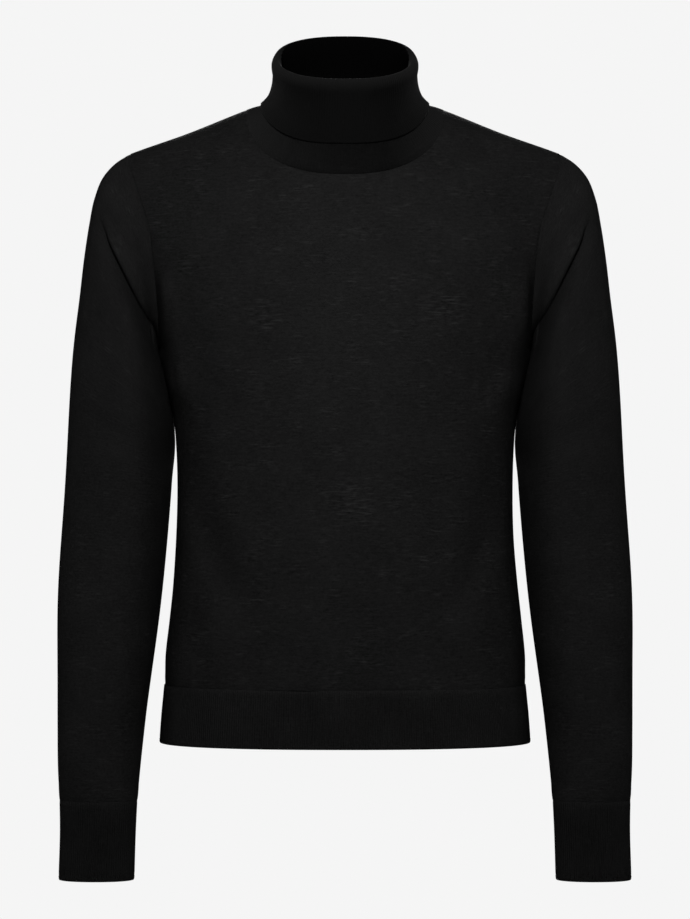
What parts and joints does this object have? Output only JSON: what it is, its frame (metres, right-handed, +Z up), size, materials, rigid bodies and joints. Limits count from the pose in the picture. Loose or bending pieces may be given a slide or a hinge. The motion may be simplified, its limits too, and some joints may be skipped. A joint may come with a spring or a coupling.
{
  "type": "turtleneck sweater",
  "caption": "Fine-knit turtleneck sweater with set-in long sleeves, a turned-over rib collar, rib cuffs and a rib hem, filled out as worn and hollow.",
  "frame": {"origin": "where the wearer's shoulders hold it up: on the middle line of the body, level with the points where the shoulder seams meet the neck", "axes": "+Z up along the body, -Y out of the front, +X towards the wearer's left arm"},
  "size_m": [0.5712, 0.2337, 0.8471],
  "materials": {
    "jersey": "matte fine-gauge black wool jersey",
    "rib": "matte black 1x1 wool rib"
  },
  "bodies": {
    "root": {"front": "jersey", "back": "jersey", "hem_rib_front": "rib", "hem_rib_back": "rib", "sleeve_left": "jersey", "sleeve_right": "jersey", "cuff_left": "rib", "cuff_right": "rib", "collar": "rib"}
  },
  "joints": []
}
